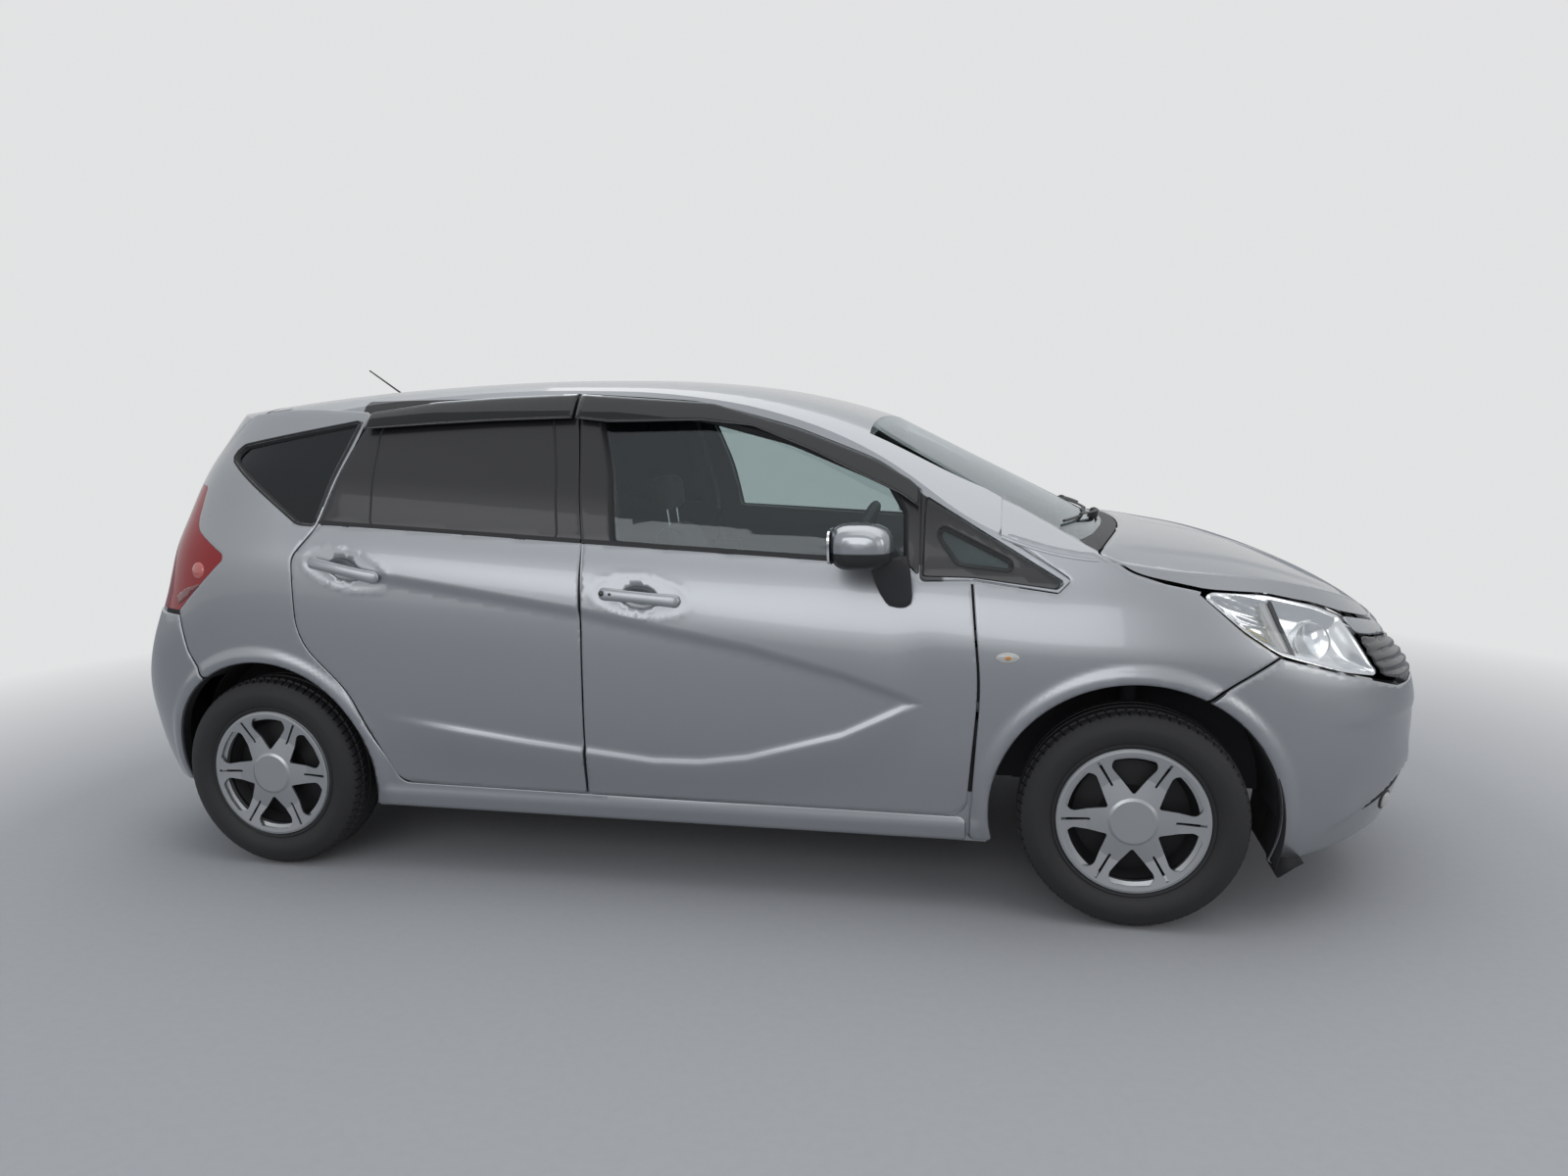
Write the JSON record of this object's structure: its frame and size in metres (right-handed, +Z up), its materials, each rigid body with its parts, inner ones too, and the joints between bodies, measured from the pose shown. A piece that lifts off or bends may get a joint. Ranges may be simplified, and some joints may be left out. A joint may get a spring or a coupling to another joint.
{
  "type": "five-door hatchback car",
  "caption": "Small five-door hatchback car with opening doors, hood and tailgate, steered front wheels and a hollow cabin with seats.",
  "frame": {"origin": "on the ground, at the middle of the car's length and width", "axes": "+X forward, +Y to the car's left, +Z up"},
  "size_m": [4.1024, 1.996, 1.5931],
  "materials": {
    "paint": "silver metallic, clear coated",
    "glass": "tinted, polished",
    "dark_plastic": "fine grained",
    "lamp": "clear, polished",
    "tail_lamp": "red, polished",
    "underbody": "dark, sealed",
    "casting": "as cast",
    "steel": "bare, heat stained",
    "upholstery": "woven",
    "wheel_silver": "silver lacquer",
    "tyre": "moulded"
  },
  "bodies": {
    "body": {"floor_pan": "underbody", "body_side_right": "paint", "body_side_left": "paint", "roof_panel": "paint", "windshield": "glass", "cowl_panel": "dark_plastic", "fender_right": "paint", "fender_left": "paint", "front_bumper": "paint", "grille": "dark_plastic", "headlamps": "lamp", "tail_lamps": "tail_lamp", "rear_bumper": "paint", "quarter_glass": "glass", "corner_windows": "glass", "engine_bay": "underbody", "dashboard": "dark_plastic", "front_seat_right": "upholstery", "front_seat_left": "upholstery", "rear_seat": "upholstery", "engine_block": "casting", "front_suspension": "underbody", "rear_axle": "underbody", "aerial": "dark_plastic", "exhaust": "steel", "fuel_tank": "underbody"},
    "hood": {"hood": "paint"},
    "tailgate": {"tailgate": "paint", "tailgate_glass": "glass"},
    "steering_wheel": {"steering_wheel": "dark_plastic"},
    "door_front_right": {"door_front_right": "paint", "door_glass_front_right": "glass", "mirror_right": "paint"},
    "door_rear_right": {"door_rear_right": "paint", "door_glass_rear_right": "glass"},
    "door_front_left": {"door_front_left": "paint", "door_glass_front_left": "glass", "mirror_left": "paint"},
    "door_rear_left": {"door_rear_left": "paint", "door_glass_rear_left": "glass"},
    "knuckle_right": {"knuckle_right": "underbody"},
    "knuckle_left": {"knuckle_left": "underbody"},
    "wheel_front_right": {"wheel_front_right": "wheel_silver", "tyre_front_right": "tyre"},
    "wheel_front_left": {"wheel_front_left": "wheel_silver", "tyre_front_left": "tyre"},
    "wheel_rear_right": {"wheel_rear_right": "wheel_silver", "tyre_rear_right": "tyre"},
    "wheel_rear_left": {"wheel_rear_left": "wheel_silver", "tyre_rear_left": "tyre"}
  },
  "joints": [
    {"name": "hood_hinge", "type": "hinge", "parent": "body", "child": "hood", "pos_m": [1.062, 0, 1.02], "axis": [0, -1, 0], "range_deg": [0, 40]},
    {"name": "tailgate_hinge", "type": "hinge", "parent": "body", "child": "tailgate", "pos_m": [-1.432, 0, 1.443], "axis": [0, 1, 0], "range_deg": [0, 65]},
    {"name": "door_front_right_hinge", "type": "hinge", "parent": "body", "child": "door_front_right", "pos_m": [0.851, -0.8195, 0.61], "axis": [0, 0, 1], "range_deg": [0, 65]},
    {"name": "door_rear_right_hinge", "type": "hinge", "parent": "body", "child": "door_rear_right", "pos_m": [-0.273, -0.8195, 0.61], "axis": [0, 0, 1], "range_deg": [0, 70]},
    {"name": "door_front_left_hinge", "type": "hinge", "parent": "body", "child": "door_front_left", "pos_m": [0.851, 0.8195, 0.61], "axis": [0, 0, -1], "range_deg": [0, 65]},
    {"name": "door_rear_left_hinge", "type": "hinge", "parent": "body", "child": "door_rear_left", "pos_m": [-0.273, 0.8195, 0.61], "axis": [0, 0, -1], "range_deg": [0, 70]},
    {"name": "steering_column", "type": "hinge", "parent": "body", "child": "steering_wheel", "pos_m": [0.395, -0.37, 0.945], "axis": [-0.9135, 0, 0.4067], "range_deg": [-490, 490]},
    {"name": "steer_right", "type": "hinge", "parent": "body", "child": "knuckle_right", "pos_m": [1.212, -0.648, 0.303], "axis": [0, 0, 1], "range_deg": [-35, 35]},
    {"name": "steer_left", "type": "hinge", "parent": "body", "child": "knuckle_left", "pos_m": [1.212, 0.648, 0.303], "axis": [0, 0, 1], "range_deg": [-35, 35]},
    {"name": "spin_front_right", "type": "hinge", "parent": "knuckle_right", "child": "wheel_front_right", "pos_m": [1.212, -0.74, 0.303], "axis": [0, 1, 0], "continuous": true},
    {"name": "spin_front_left", "type": "hinge", "parent": "knuckle_left", "child": "wheel_front_left", "pos_m": [1.212, 0.74, 0.303], "axis": [0, 1, 0], "continuous": true},
    {"name": "spin_rear_right", "type": "hinge", "parent": "body", "child": "wheel_rear_right", "pos_m": [-1.388, -0.7425, 0.303], "axis": [0, 1, 0], "continuous": true},
    {"name": "spin_rear_left", "type": "hinge", "parent": "body", "child": "wheel_rear_left", "pos_m": [-1.388, 0.7425, 0.303], "axis": [0, 1, 0], "continuous": true}
  ],
  "couplings": [
    {"joint": "steer_right", "follows": "steering_column", "ratio": 0.071429},
    {"joint": "steer_left", "follows": "steering_column", "ratio": 0.071429}
  ]
}
